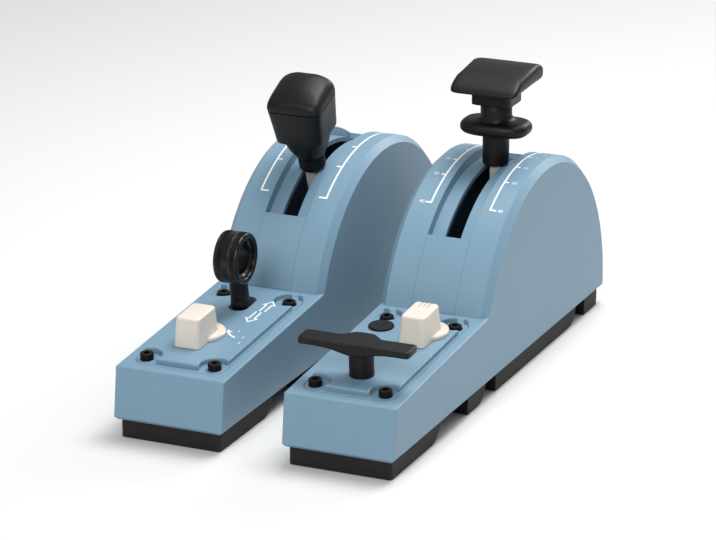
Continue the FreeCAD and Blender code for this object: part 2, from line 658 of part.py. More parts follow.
def make_gear_stem():
    """Round stem with a collar above the deck and a flat eye at the pivot."""
    top = GEAR_REACH - math.sqrt(TYRE_R ** 2 - 3.6 ** 2)
    collar = chamfer_edges(rod(STEM_COLLAR_R, 12.0, 15.0), 0.4, at_z(15.0))
    stem = rod(STEM_R, 7.0, top + 1.0).fuse(collar)
    stem = stem.cut(cross_rod(TYRE_R, -10, 10, 0, GEAR_REACH))
    eye = box(-3, 3, -3.2, 3.2, 0, 8).fuse(cross_rod(3.2, -3, 3))
    stem = fuse(stem, eye).cut(cross_rod(PIN_R + RUN, -10, 10))
    return on_gear(stem, GEAR_REST)


def make_gear_pin():
    return on_gear(cross_rod(PIN_R, -7.5, 7.5), 0)


def make_gear_fork():
    """Fork under the plate that holds the gear lever's pin."""
    top = GEAR_DEPTH - DECK_H - PLATE_T
    cheeks = [box(sx * 4.9 - 1.5, sx * 4.9 + 1.5, -4, 4, -4, top - 1.0) for sx in (-1, 1)]
    flanges = [box(min(sx * 3.4, sx * 10), max(sx * 3.4, sx * 10), -13, 13, top - 2.8, top - 1.0) for sx in (-1, 1)]
    ties = [box(-10, 10, y - 1.2, y + 1.2, top - 2.8, top - 1.0) for y in (-12, 12)]
    fork = cheeks[0].fuse(cheeks[1:] + flanges + ties).removeSplitter()
    fork = fork.cut(cross_rod(PIN_R, -10, 10))
    return on_gear(fork, 0)


def gear_slot():
    """Long rounded hole in the plate for the gear lever."""
    y = (GEAR_Y - FRONT_LEAN) / math.cos(math.radians(PANEL_TILT))
    return rounded_block(SLOT_ACROSS, SLOT_L, SLOT_ACROSS / 2 - 0.1, -PLATE_T - 1, DECK_H + 1, GEAR_X, y)


# ---- rotary knobs, drawn in the panel's frame ----------------------------------------------
SKIRT_R = 12.0
SKIRT_H = 2.2
GRIP_FOOT = (15.0, 25.2)
GRIP_FOOT_AHEAD = 8.0   # grip's middle in front of the turning axis
GRIP_HEAD = (13.4, 21.4)
GRIP_HEAD_AHEAD = 7.3
GRIP_H = 15.5
GRIP_CORNER = 2.6
SHAFT_R = 3.0
SHAFT_IN = 8.0          # shaft's length inside the knob
AUTOBRAKE_AT = (-3.4, PLATE_Y0 + 40.7)
TRIM_AT = (9.8, plate_y1 - 26.7)


def make_rotary(at, grooves):
    """Bar-shaped grip that reaches forward from a round skirt, bored for its shaft."""
    x, y = at
    z0 = DECK_H + CLEAR
    skirt = chamfer_edges(rod(SKIRT_R, z0, z0 + SKIRT_H, x, y), 0.7, at_z(z0 + SKIRT_H))
    grip = loft(rounded_wire(*GRIP_FOOT, GRIP_CORNER, z0, x, y - GRIP_FOOT_AHEAD),
                rounded_wire(*GRIP_HEAD, GRIP_CORNER, z0 + GRIP_H, x, y - GRIP_HEAD_AHEAD))
    grip = fillet_edges(grip, 1.3, at_z(z0 + GRIP_H))
    knob = fuse(skirt, grip)
    for k in range(grooves):
        gx = x + (k - (grooves - 1) / 2) * 2.3
        rear = y - GRIP_HEAD_AHEAD + GRIP_HEAD[1] / 2
        knob = knob.cut(box(gx - 0.4, gx + 0.4, rear - 7.5, rear + 2, z0 + GRIP_H - 0.6, z0 + GRIP_H + 1))
    knob = knob.cut(rod(SHAFT_R, z0 - 1, z0 + SHAFT_IN, x, y))
    return on_panel(knob)


def make_rotary_shaft(at):
    x, y = at
    top = DECK_H + CLEAR + SHAFT_IN
    return on_panel(rod(SHAFT_R, -PLATE_T - 8, top, x, y))


def make_rotary_switch(at):
    """Square switch body hung under the plate, with the bush that carries the shaft."""
    x, y = at
    body = box(x - 6.5, x + 6.5, y - 6.5, y + 6.5, -PLATE_T - 9, -PLATE_T)
    bush = rod(SHAFT_R + 1.5, -PLATE_T, DECK_H - 0.4, x, y)
    return on_panel(fuse(body, bush).cut(rod(SHAFT_R + RUN, -PLATE_T - 8 - CLEAR, DECK_H, x, y)))


def rotary_hole(at):
    return rod(SHAFT_R + 1.5, -PLATE_T - 1, DECK_H + 1, *at)


# ---- tee handle, drawn in the panel's frame ------------------------------------------------
TEE_AT = (0.0, PLATE_Y0 + 21.6)
TEE_BOSS_R = 6.5
TEE_L = 61.6
TEE_D = 12.4
TEE_T = 4.0
TEE_TOP = 23.5
TEE_OFFSET = -4.6       # blade's middle, towards the user from the boss
TEE_BULGE_R = 8.6


def make_tee():
    """Tee handle: a blade with a rounded bulge behind it, blended into a round boss."""
    x, y = TEE_AT
    z0, z1 = TEE_TOP - TEE_T, TEE_TOP
    blade = rounded_block(TEE_L, TEE_D, 2.2, z0, z1, x, y + TEE_OFFSET)
    bulge = rounded_block(2 * TEE_BULGE_R + 4, 2 * TEE_BULGE_R - 1, TEE_BULGE_R - 1.2, z0, z1, x, y - 0.6)
    blade = blade.fuse(bulge).removeSplitter()
    blade = fillet_edges(blade, 1.1, at_z(z1))
    boss = rod(TEE_BOSS_R, DECK_H - 2.0, z0 + 1, x, y)
    throat = Part.makeCone(TEE_BOSS_R, TEE_BOSS_R + 2.0, 3.4, Vector(x, y, z0 - 3.4))
    tee = blade.fuse([boss, throat]).removeSplitter()
    return on_panel(tee.cut(rod(SHAFT_R, DECK_H - 3, z0 - 2, x, y)))


def make_tee_shaft():
    x, y = TEE_AT
    return on_panel(rod(SHAFT_R, -PLATE_T - 8, TEE_TOP - TEE_T - 2, x, y))


def tee_hole():
    """Seat for the boss: a round recess with a smaller hole for the switch's bush."""
    x, y = TEE_AT
    seat = rod(TEE_BOSS_R + RUN, DECK_H - 2.0 - CLEAR, DECK_H + 1, x, y)
    return seat.fuse(rod(SHAFT_R + 1.5, -PLATE_T - 1, DECK_H, x, y))


def make_tee_switch():
    x, y = TEE_AT
    body = box(x - 8, x + 8, y - 6.5, y + 6.5, -PLATE_T - 9, -PLATE_T)
    bush = rod(SHAFT_R + 1.5, -PLATE_T, 0, x, y)
    return on_panel(fuse(body, bush).cut(rod(SHAFT_R + RUN, -PLATE_T - 8 - CLEAR, DECK_H, x, y)))


# ---- push button ---------------------------------------------------------------------------
BUTTON_AT = (-15.3, plate_y1 - 27.6)
BUTTON_R = 6.8
BUTTON_PROUD = 1.3
BUTTON_CASE_R = 7.8


def make_button():
    """Round button with a retaining lip under the plate and a stem to its switch."""
    x, y = BUTTON_AT
    top = DECK_H + BUTTON_PROUD
    cap = chamfer_edges(rod(BUTTON_R, -PLATE_T - CLEAR, top, x, y), 0.5, at_z(top))
    lip = rod(BUTTON_R + 0.6, -PLATE_T - CLEAR - 1.2, -PLATE_T - CLEAR, x, y)
    stem = rod(1.6, -PLATE_T - 8, -PLATE_T - CLEAR - 1.2, x, y)
    return on_panel(fuse(cap, lip, stem))


def make_button_switch():
    """Round case that hangs under the plate and houses the button's lower end."""
    x, y = BUTTON_AT
    depth = 10.5
    case = rod(BUTTON_CASE_R + 0.8, -PLATE_T - depth, -PLATE_T, x, y)
    hollow = rod(BUTTON_CASE_R, -PLATE_T - depth + 2.2, 0, x, y)
    guide = rod(1.6 + RUN, -PLATE_T - depth - 1, 0, x, y)
    return on_panel(case.cut(hollow).cut(guide))


def make_button_spring():
    """Spring under the button's lip."""
    z0 = -PLATE_T - 10.5 + 2.2
    z1 = -PLATE_T - CLEAR - 1.2
    return on_panel(coil(4.2, 0.8, z0, z1 - 2 * RUN, 3, *BUTTON_AT))


def button_hole():
    return rod(BUTTON_R + RUN, -PLATE_T - 1, DECK_H + 1, *BUTTON_AT)


def coil(radius, wire, z0, z1, turns, x=0.0, y=0.0):
    """Coil spring wound from square wire, its height kept between z0 and z1."""
    rise = z1 - z0 - wire
    path = Part.Wire(Part.makeHelix(rise / turns, rise, radius).Edges)
    a, b = radius - wire / 2, radius + wire / 2
    section = Part.makePolygon([Vector(r, 0, z) for r, z in
                                ((a, -wire / 2), (b, -wire / 2), (b, wire / 2), (a, wire / 2), (a, -wire / 2))])
    spring = path.makePipeShell([section], True, True)
    spring.translate(Vector(x, y, z0 + wire / 2 + RUN))
    return spring


# ---- flaps lever, drawn upright about the pivot --------------------------------------------
FLAP_SLEEVE_R = 7.3
FLAP_SLEEVE_BORE = 5.2
COLLAR_SIZE = (39.0, 25.6)
COLLAR_CORNER = 9.5
COLLAR_Z0 = sleeve_r0 + 17.3
COLLAR_H = 7.7
COLLAR_LIFT = 5.0
NECK_R = 8.6
BLOCK_W = 22.8
BLOCK_Z0 = COLLAR_Z0 + 17.1
BLOCK_Z1 = BLOCK_Z0 + 10.1
SLEEVE_IN = 3.0         # sleeve's length inside the pad
PAD_W = 38.0
PAD_Y0 = -21.0
PAD_Y1 = 22.0
PAD_Z = BLOCK_Z1
PAD_CROWN = 9.0
ROD_R = 1.1
ROD_X = -3.1
ROD_Y = 2.0
DETENT_R = 34.0
DETENT_T = 2.0
DETENT_X = -8.5
DETENT_DEPTH = 2.0


def make_flap_sleeve():
    """Black tube round the arm, slotted for the release rod's upper pin."""
    top = BLOCK_Z1 + SLEEVE_IN
    sleeve = rod(FLAP_SLEEVE_R, sleeve_r0, top)
    sleeve = fillet_edges(sleeve, 1.2, at_z(sleeve_r0))
    sleeve = sleeve.cut(rod(FLAP_SLEEVE_BORE, sleeve_r0 - 1, top - 3))
    slot_z = COLLAR_Z0 + COLLAR_H / 2
    pin = ROD_R + CLEAR
    slot = box(-FLAP_SLEEVE_R - 1, 0, ROD_Y - pin, ROD_Y + pin, slot_z - pin, slot_z + COLLAR_LIFT + pin)
    return on_lever(sleeve.cut(slot), 0)


def make_collar():
    """Lifting collar: a rounded disc with a hub that slides on the sleeve and up into the
    block above."""
    w, d = COLLAR_SIZE
    z0, z1 = COLLAR_Z0, COLLAR_Z0 + COLLAR_H
    cut = 1.9
    disc = Part.makeLoft([rounded_wire(w - 2 * cut, d - 2 * cut, COLLAR_CORNER - cut, z0),
                          rounded_wire(w - 0.6, d - 0.6, COLLAR_CORNER - 0.3, z0 + cut),
                          rounded_wire(w, d, COLLAR_CORNER, z0 + COLLAR_H / 2),
                          rounded_wire(w - 0.6, d - 0.6, COLLAR_CORNER - 0.3, z1 - cut),
                          rounded_wire(w - 2 * cut, d - 2 * cut, COLLAR_CORNER - cut, z1)], True, True)
    hub = rod(NECK_R, z1 - 1, BLOCK_Z0 + 1.0)
    throat = Part.makeCone(NECK_R + 1.4, NECK_R, 1.4, Vector(0, 0, z1))
    collar = disc.fuse([hub, throat]).removeSplitter()
    collar = collar.cut(rod(FLAP_SLEEVE_R + RUN, z0 - 1, BLOCK_Z0 + 2))
    pin_z = z0 + COLLAR_H / 2
    collar = collar.cut(cross_rod(ROD_R, -FLAP_SLEEVE_R - 2.0, 0, ROD_Y, pin_z))
    return on_lever(collar, 0)


def make_release_rod():
    """Rod beside the arm: its upper pin sits in the collar and its lower pin reaches over the
    detent comb."""
    pin_z = COLLAR_Z0 + COLLAR_H / 2
    low_z = DETENT_R + CLEAR + ROD_R
    upright = rod(ROD_R, low_z - ROD_R, pin_z + ROD_R, ROD_X, ROD_Y)
    upper = cross_rod(ROD_R, -FLAP_SLEEVE_R - 2.0, ROD_X, ROD_Y, pin_z)
    lower = cross_rod(ROD_R, DETENT_X, ROD_X, ROD_Y, low_z)
    return on_lever(fuse(upright, upper, lower), 0)


def make_detent_comb():
    """Fixed sector with a round notch for each flaps setting, on two posts from the bracket."""
    front, rear = max(FLAPS_MARKS) + 12, min(FLAPS_MARKS) - 12
    mid = (front + rear) / 2
    sector = side_profile([polar(13, front), polar(DETENT_R, front), (polar(DETENT_R, mid), polar(DETENT_R, rear)),
                           polar(13, rear), (polar(13, mid), polar(13, front))], DETENT_X, DETENT_X + DETENT_T)
    pin_lag = math.degrees(math.atan2(ROD_Y, DETENT_R))
    for mark in FLAPS_MARKS:
        y, z = polar(DETENT_R + 0.4, mark - pin_lag)
        sector = sector.cut(cross_rod(DETENT_DEPTH, DETENT_X - 1, DETENT_X + DETENT_T + 1, y, z))
    for angle, end in ((-78, rear + 3), (78, front - 3)):
        y, z = polar(HUB_R + 3, angle)
        arm_end = polar(DETENT_R - 12, end)
        post = cross_rod(2.2, -CHEEK_X, DETENT_X + DETENT_T, y, z)
        leg = side_profile([(y - 2.2, z), (y + 2.2, z), (arm_end[0] + 2.2, arm_end[1]), (arm_end[0] - 2.2, arm_end[1])],
                           DETENT_X, DETENT_X + DETENT_T)
        sector = sector.fuse([post, leg])
    return sector.removeSplitter()


def make_flap_pad():
    """Wide pad with a crowned top and rounded ends, on a block that is bored for the sleeve
    and the collar's hub."""
    middle = ((PAD_Y0 + PAD_Y1) / 2, PAD_Z + PAD_CROWN / 2)
    half = (PAD_Y1 - PAD_Y0) / 2

    def outline(x, inset):
        grow = (1 - inset / half, 1 - 2 * inset / PAD_CROWN)
        at = lambda y, z: tuple(m + (c - m) * g for m, c, g in zip(middle, (y, PAD_Z + z), grow))
        return profile_wire([at(PAD_Y0, 0), (at(PAD_Y0 - 0.5, 1.6), at(PAD_Y0 + 1.6, 3.2)),
                             (at(2.0, PAD_CROWN), at(PAD_Y1 - 1.2, 7.2)),
                             (at(PAD_Y1 + 0.6, 5.4), at(PAD_Y1, 3.0))], x)

    rim = ((0.0, 1.6), (0.6, 0.6), (2.0, 0.0))
    wires = [outline(x - PAD_W / 2, inset) for x, inset in rim]
    wires += [outline(PAD_W / 2 - x, inset) for x, inset in reversed(rim)]
    pad = Part.makeLoft(wires, True, True)
    hub_r = NECK_R + RUN
    block = rounded_block(BLOCK_W, 2 * hub_r + 2.4, 2.0, BLOCK_Z0, PAD_Z + 1.5)
    grip = pad.fuse(block).removeSplitter()
    ceiling = BLOCK_Z0 + COLLAR_LIFT + 4.6
    grip = grip.cut(rod(hub_r, BLOCK_Z0 - 1, ceiling))
    return on_lever(grip.cut(rod(FLAP_SLEEVE_R, BLOCK_Z0 - 1, BLOCK_Z1 + SLEEVE_IN)), 0)


def make_collar_spring():
    """Spring between the collar's hub and the roof of the block's bore."""
    radius = (FLAP_SLEEVE_R + NECK_R) / 2
    return on_lever(coil(radius, 0.9, BLOCK_Z0 + 1.0, BLOCK_Z0 + COLLAR_LIFT + 4.6 - 2 * RUN, 3), 0)


# ---- every piece, written once -------------------------------------------------------------
for side in ("left", "right"):
    if side == "left":
        cuts = [gear_slot(), rotary_hole(AUTOBRAKE_AT)]
    else:
        cuts = [tee_hole(), rotary_hole(TRIM_AT), button_hole()]
    write(side + "_housing", make_housing(), side)
    write(side + "_channel_strip", make_strip(), side)
    write(side + "_panel_plate", make_plate(cuts), side)
    write(side + "_panel_screws", make_panel_screws(), side)
    write(side + "_base", make_base(), side)
    write(side + "_feet", make_feet(), side)
    write(side + "_base_screws", make_base_screws(), side)
    write(side + "_base_inserts", make_inserts(), side)
    write(side + "_pivot_bracket", make_bracket(), side)
    write(side + "_axle", make_axle(), side)
    write(side + "_axle_nuts", make_axle_nuts(), side)
    write(side + "_friction_washers", make_friction_washers(), side)
    write(side + "_angle_sensor", make_sensor(), side)
    write(side + "_circuit_board", make_board(), side)

write("brake_arm", make_arm(BRAKE_REST, KNOB_Z + 6, BRAKE_BAR), "left")
write("brake_sleeve", make_brake_sleeve(), "left")
write("brake_knob", make_brake_knob(), "left")
write("brake_knob_cap", make_brake_cap(), "left")
write("gear_tyre", make_gear_tyre(), "left")
write("gear_rim", make_gear_rim(), "left")
write("gear_stem", make_gear_stem(), "left")
write("gear_pivot_pin", make_gear_pin(), "left")
write("gear_fork", make_gear_fork(), "left")
write("autobrake_knob", make_rotary(AUTOBRAKE_AT, 0), "left")
write("autobrake_shaft", make_rotary_shaft(AUTOBRAKE_AT), "left")
write("autobrake_switch", make_rotary_switch(AUTOBRAKE_AT), "left")
write("flaps_arm", make_arm(0, BLOCK_Z1 - 6, FLAPS_BAR), "right")
write("flaps_sleeve", make_flap_sleeve(), "right")
write("flaps_collar", make_collar(), "right")
write("flaps_release_rod", make_release_rod(), "right")
write("flaps_detent_comb", make_detent_comb(), "right")
write("flaps_grip", make_flap_pad(), "right")
write("flaps_collar_spring", make_collar_spring(), "right")
write("park_handle", make_tee(), "right")
write("park_shaft", make_tee_shaft(), "right")
write("park_switch", make_tee_switch(), "right")
write("trim_knob", make_rotary(TRIM_AT, 3), "right")
write("trim_shaft", make_rotary_shaft(TRIM_AT), "right")
write("trim_encoder", make_rotary_switch(TRIM_AT), "right")
write("reset_button", make_button(), "right")
write("reset_spring", make_button_spring(), "right")
write("reset_switch", make_button_switch(), "right")
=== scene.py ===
# %% [markdown]
# # Dressing a pair of flight control modules
#
# The construction model already holds every solid in its place. This notebook gives it the
# looks: moulded plastic, blackened screws, printed scales and grips with soft edges. The
# shapes that a hand touches are worked out again as smooth surfaces, because a solid model
# keeps its corners simple and the eye reads a grip by the light along its edges.

# %% Load the frame
import json
import math

import bpy
import numpy as np
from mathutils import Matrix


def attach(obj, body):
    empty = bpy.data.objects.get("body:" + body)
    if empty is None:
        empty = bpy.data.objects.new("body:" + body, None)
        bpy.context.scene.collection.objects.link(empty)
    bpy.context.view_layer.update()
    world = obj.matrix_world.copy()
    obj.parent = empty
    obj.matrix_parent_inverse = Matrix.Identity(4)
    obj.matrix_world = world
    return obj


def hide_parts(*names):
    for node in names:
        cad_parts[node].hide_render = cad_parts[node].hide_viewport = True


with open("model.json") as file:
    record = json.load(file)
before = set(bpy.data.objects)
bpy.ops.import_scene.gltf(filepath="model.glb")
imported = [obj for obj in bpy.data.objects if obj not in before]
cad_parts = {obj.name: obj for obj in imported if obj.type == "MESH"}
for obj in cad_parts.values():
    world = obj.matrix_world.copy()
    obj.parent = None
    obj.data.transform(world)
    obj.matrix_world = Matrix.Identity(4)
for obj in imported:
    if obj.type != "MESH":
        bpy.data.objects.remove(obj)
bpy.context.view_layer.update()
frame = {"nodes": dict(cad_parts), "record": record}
MM = 0.001

# %% [markdown]
# ## Where things are
#
# Each module has its own simple coordinates: x from its middle, y from its front edge and z
# from the desk, in millimetres. Two shapes carry all the printing. The hump is a round arch
# about the lever pivot, so a place on it is a distance across and a lean from upright. The
# control panel is a plane that rises gently to the rear. Each mark could be placed by hand in
# the pair's own metres, but one function per surface keeps all of them truly on it.

# %% Module measures and mapping functions
HALF_LENGTH = 152.0
MIDDLE = {"left": -47.75, "right": 47.75}
PIVOT_Y, PIVOT_Z = 211.3, 16.9
HUMP_R = 92.7
PANEL_Y, PANEL_Z = 3.4, 38.9
PANEL_TILT = math.radians(3.95)
DECK = 2.8
INK = 0.05


def in_row(side, x, y, z):
    """Module millimetres to the pair's metres: across by the module's middle, back by half
    the length."""
    x, y, z = np.broadcast_arrays(x, y, z)
    return np.stack([x + MIDDLE[side], y - HALF_LENGTH, z], -1) * MM


def on_hump(side, x, lean):
    """Round arch: y is the pivot minus radius times sine of the lean, z the pivot plus radius
    times cosine. The ink lies on the arch."""
    a = np.radians(lean)
    r = HUMP_R + INK
    return in_row(side, x, PIVOT_Y - r * np.sin(a), PIVOT_Z + r * np.cos(a))


def on_panel(side, x, y, z=DECK + INK):
    """Tilted plane: distance along it and height off it, turned by the panel's rise. Without a
    height, the place is in the ink on the deck."""
    c, s = math.cos(PANEL_TILT), math.sin(PANEL_TILT)
    return in_row(side, x, PANEL_Y + y * c - z * s, PANEL_Z + y * s + z * c)


def on_lever(side, lean, xyz):
    """Points drawn upright about the pivot, turned about it by the lever's lean to the user."""
    a = math.radians(lean)
    x, y, z = xyz[..., 0], xyz[..., 1], xyz[..., 2]
    return in_row(side, x, PIVOT_Y + y * math.cos(a) - z * math.sin(a),
                  PIVOT_Z + y * math.sin(a) + z * math.cos(a))


print("hump top", round(PIVOT_Z + HUMP_R, 1), "mm above the desk")

# %% [markdown]
# ## Camera
#
# A long lens from the right of the user, a little above the modules. A long lens keeps the
# sides of the boxes nearly parallel, as in a catalogue picture. A constraint could aim it, but
# a place and two angles say the same and can be read at a glance.

# %% Place the camera
CAMERA_AT = (0.7622, -1.7412, 0.6996)
AZIMUTH, ELEVATION = math.radians(23.86), math.radians(18.72)
LENS_MM, SENSOR_MM = 187.04, 36.0
camera_data = bpy.data.cameras.new("camera")
camera_data.lens, camera_data.sensor_width = LENS_MM, SENSOR_MM
camera = bpy.data.objects.new("camera", camera_data)
camera.location = CAMERA_AT
camera.rotation_euler = (math.pi / 2 - ELEVATION, 0.0, AZIMUTH)
bpy.context.collection.objects.link(camera)
bpy.context.scene.camera = camera
print("camera at", CAMERA_AT, "with a lens of", LENS_MM, "mm")

# %% [markdown]
# ## Small tools for materials
#
# Colours are written as the hex values one would pick on a screen and turned to linear
# light once. Nodes could be placed by hand in the shader editor. One function that adds a
# node, sets its sockets and joins its links does the same in a line that can be read.

# %% Colour and node helpers
# The colour sockets of the mix node share their names with others, so they go by number.
MIX_FACTOR, MIX_A, MIX_B, MIX_RESULT = 0, 6, 7, 2


def linear(hex_colour):
    """sRGB hex to linear: the low end is divided by 12.92, the rest plus 0.055 and over 1.055
    is raised to the power 2.4."""
    c = np.array([int(hex_colour[i:i + 2], 16) / 255 for i in (1, 3, 5)])
    low = c <= 0.04045
    c = np.where(low, c / 12.92, ((c + 0.055) / 1.055) ** 2.4)
    return (*[float(v) for v in c], 1.0)


def add_node(tree, kind, settings=None, values=None, links=None):
    """Add one node: settings are its properties, values its sockets, links what feeds them."""
    node = tree.nodes.new(kind)
    for key, value in (settings or {}).items():
        setattr(node, key, value)
    for key, value in (values or {}).items():
        node.inputs[key].default_value = value
    for key, source in (links or {}).items():
        tree.links.new(source, node.inputs[key])
    return node


def new_material(name):
    """A plain material: its tree, its shader joined to the output, and the object's own
    coordinates in metres."""
    material = bpy.data.materials.new(name)
    material.use_nodes = True
    tree = material.node_tree
    tree.nodes.clear()
    shader = add_node(tree, "ShaderNodeBsdfPrincipled")
    add_node(tree, "ShaderNodeOutputMaterial", links={"Surface": shader.outputs[0]})
    place = add_node(tree, "ShaderNodeTexCoord").outputs["Object"]
    return material, tree, shader, place


print("mid grey in linear light", round(linear("#808080")[0], 3))

# %% [markdown]
# ## Plastic and metal
#
# Moulded plastic is never quite one colour, and its skin holds the grain of the steel tool.
# Bare metal holds the strokes of the die or the lathe. A picture of each could be wrapped
# round the shapes, but noise worked out in the object's own space has no seams and stays
# sharp however near the eye comes.

# %% Plastic and metal
def noise(tree, feature_mm, detail, place):
    """Noise whose features are about as large as given, over a place in metres."""
    return add_node(tree, "ShaderNodeTexNoise",
                    values={"Scale": 1 / (feature_mm * MM), "Detail": detail},
                    links={"Vector": place}).outputs["Fac"]


def roughen(tree, shader, pattern, depth, feature_mm, roughness, spread):
    """One pattern gives both the bump and the small changes of roughness."""
    bump = add_node(tree, "ShaderNodeBump",
                    values={"Strength": depth, "Distance": feature_mm * MM},
                    links={"Height": pattern})
    rough = add_node(tree, "ShaderNodeMapRange",
                     values={"To Min": roughness - spread, "To Max": roughness + spread},
                     links={"Value": pattern})
    tree.links.new(bump.outputs[0], shader.inputs["Normal"])
    tree.links.new(rough.outputs[0], shader.inputs["Roughness"])


CLOUD_MM, CLOUD_DETAIL, GRAIN_DETAIL = 18.0, 3.0, 2.0
PLASTIC_IOR, PLASTIC_SPREAD = 1.53, 0.04


def moulded(name, colour, shade, roughness, grain_mm, grain_depth, specular=0.5, coat=0.0):
    """Moulded plastic: two close colours mixed by a slow cloud, and the tool's spark-eroded
    grain as a fine bump."""
    material, tree, shader, place = new_material(name)
    mix = add_node(tree, "ShaderNodeMix", {"data_type": "RGBA"},
                   {MIX_A: linear(colour), MIX_B: linear(shade)},
                   {MIX_FACTOR: noise(tree, CLOUD_MM, CLOUD_DETAIL, place)})
    tree.links.new(mix.outputs[MIX_RESULT], shader.inputs["Base Color"])
    grain = noise(tree, grain_mm, GRAIN_DETAIL, place)
    roughen(tree, shader, grain, grain_depth, grain_mm, roughness, PLASTIC_SPREAD)
    shader.inputs["IOR"].default_value = PLASTIC_IOR
    shader.inputs["Specular IOR Level"].default_value = specular
    shader.inputs["Coat Weight"].default_value = coat
    return material


ALONG = (1.0, 1.0, 12.0)
STROKE_DETAIL, METAL_SPREAD = 4.0, 0.06


def metal(name, colour, roughness, stroke_mm, stroke_depth):
    """Bare metal: noise stretched along one axis gives the strokes of drawing or turning."""
    material, tree, shader, place = new_material(name)
    stretched = add_node(tree, "ShaderNodeMapping", values={"Scale": ALONG},
                         links={"Vector": place}).outputs[0]
    strokes = noise(tree, stroke_mm * max(ALONG), STROKE_DETAIL, stretched)
    roughen(tree, shader, strokes, stroke_depth, stroke_mm, roughness, METAL_SPREAD)
    shader.inputs["Base Color"].default_value = linear(colour)
    shader.inputs["Metallic"].default_value = 1.0
    return material


print("a cloud in the plastic is about", CLOUD_MM, "mm wide")

# %% [markdown]
# ## The finishes
#
# The housings are ABS, moulded in a steel blue with a spark-eroded tool, so the skin is an
# even satin with no gloss. The bases are the same plastic in a warm black. The grips are a
# soft satin black that shows long, quiet highlights, and the rotary knobs are cream urea
# plastic. The numbers after the two colours are the roughness, the size of the grain in
# millimetres and its depth. The grain is a little coarser than the real tool leaves it,
# because the true one would vanish.

# %% Make the materials
blue_abs = moulded("blue_moulded_abs", "#7292A6", "#6E8EA3", 0.46, 0.35, 0.10)
black_abs = moulded("warm_black_moulded_abs", "#1C1917", "#181614", 0.60, 0.40, 0.18, specular=0.25)
satin_black = moulded("satin_black_grip_plastic", "#0C0C0D", "#0A0A0B", 0.44, 0.30, 0.04,
                      specular=0.25)
wheel_black = moulded("polished_black_wheel_plastic", "#0A0A0A", "#080808", 0.25, 0.50, 0.02,
                      specular=0.35)
cream_urea = moulded("cream_urea_plastic", "#DAD2C7", "#D5CCC0", 0.40, 0.40, 0.03)
print_white = moulded("white_pad_print_ink", "#F2F4F4", "#ECEFF0", 0.60, 0.20, 0.05)
black_rubber = moulded("black_foot_rubber", "#1A1A1A", "#151515", 0.85, 0.30, 0.20)
fibre = moulded("pressed_friction_fibre", "#6B4A32", "#5A3D29", 0.80, 0.50, 0.30)
board_green = moulded("lacquered_circuit_board", "#1F5B36", "#194D2D", 0.30, 0.60, 0.03, coat=0.4)
grey_paint = moulded("light_grey_painted_steel", "#B8B4AE", "#B0ACA6", 0.45, 0.40, 0.05)
bare_steel = metal("drawn_mild_steel", "#B8B4AE", 0.36, 0.30, 0.08)
black_oxide = metal("black_oxide_screw_steel", "#2A2524", 0.42, 0.25, 0.08)
turned_brass = metal("turned_brass", "#C9A24E", 0.30, 0.20, 0.08)
spring_steel = metal("bright_spring_steel", "#C4C6C8", 0.28, 0.20, 0.05)

FINISH = {
    "blue_plastic": blue_abs, "black_plastic": black_abs, "black_grip": satin_black,
    "cream_plastic": cream_urea, "grey_steel": bare_steel, "black_steel": black_oxide,
    "spring_steel": spring_steel, "brass": turned_brass, "rubber": black_rubber,
    "fibre": fibre, "board_green": board_green}
slot_of = {entry["node"]: entry["material_slot"] for entry in frame["record"]["subparts"]}
own_finish = {
    "left_panel_screws": black_oxide, "right_panel_screws": black_oxide,
    "gear_tyre": wheel_black, "gear_rim": wheel_black, "park_handle": satin_black,
    "reset_button": satin_black, "brake_arm": grey_paint, "flaps_arm": grey_paint}
for name, node in frame["nodes"].items():
    node.data.materials.clear()
    node.data.materials.append(own_finish.get(name, FINISH[slot_of[name]]))
print(len(slot_of), "nodes dressed in", len(bpy.data.materials), "finishes")

# %% [markdown]
# ## Surfaces from grids
#
# Every new shape is a grid of points: one direction runs along a path or up a height, the
# other round a section. Such shapes could be sculpted or built up with modifiers. A grid made
# by a formula can be measured and changed, and it becomes quads in one step, without a loop
# over its points.

# %% Grid to mesh
def make_piece(name, points, faces, material, body, smooth=True):
    """Points and faces to an object at the origin that rides on a body."""
    mesh = bpy.data.meshes.new(name)
    mesh.from_pydata([tuple(p) for p in points.reshape(-1, 3).tolist()], [], faces)
    mesh.materials.append(material)
    mesh.polygons.foreach_set("use_smooth", np.full(len(mesh.polygons), smooth))
    mesh.update()
    piece = bpy.data.objects.new(name, mesh)
    bpy.context.collection.objects.link(piece)
    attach(piece, body)
    return piece


def grid_faces(rows, columns, closed=False, start=0, count=None):
    """Quads of a grid. A closed grid joins its last column to its first, and a count of its
    points lets the last row be the first one again."""
    last = columns if closed else columns - 1
    i, j = np.meshgrid(np.arange(rows - 1), np.arange(last), indexing="ij")
    k = (j + 1) % columns
    quads = np.stack([i * columns + j, i * columns + k,
                      (i + 1) * columns + k, (i + 1) * columns + j], -1)
    quads = quads.reshape(-1, 4) % (count or rows * columns)
    return (quads + start).tolist()


print("a grid of 3 by 4 points has", len(grid_faces(3, 4)), "quads")

# %% [markdown]
# ## Solid shapes from stacked sections
#
# The grips are moulded blocks whose sections pass from round to nearly square. A box with a
# bevel can't do that on its way up. A superellipse does it with one number: a power of 2 is
# an ellipse and a power of 8 is a rectangle with soft corners. A shape is a list of levels,
# and a smooth curve through them fills in the rest.

# %% Stacked superellipses
AROUND = 120


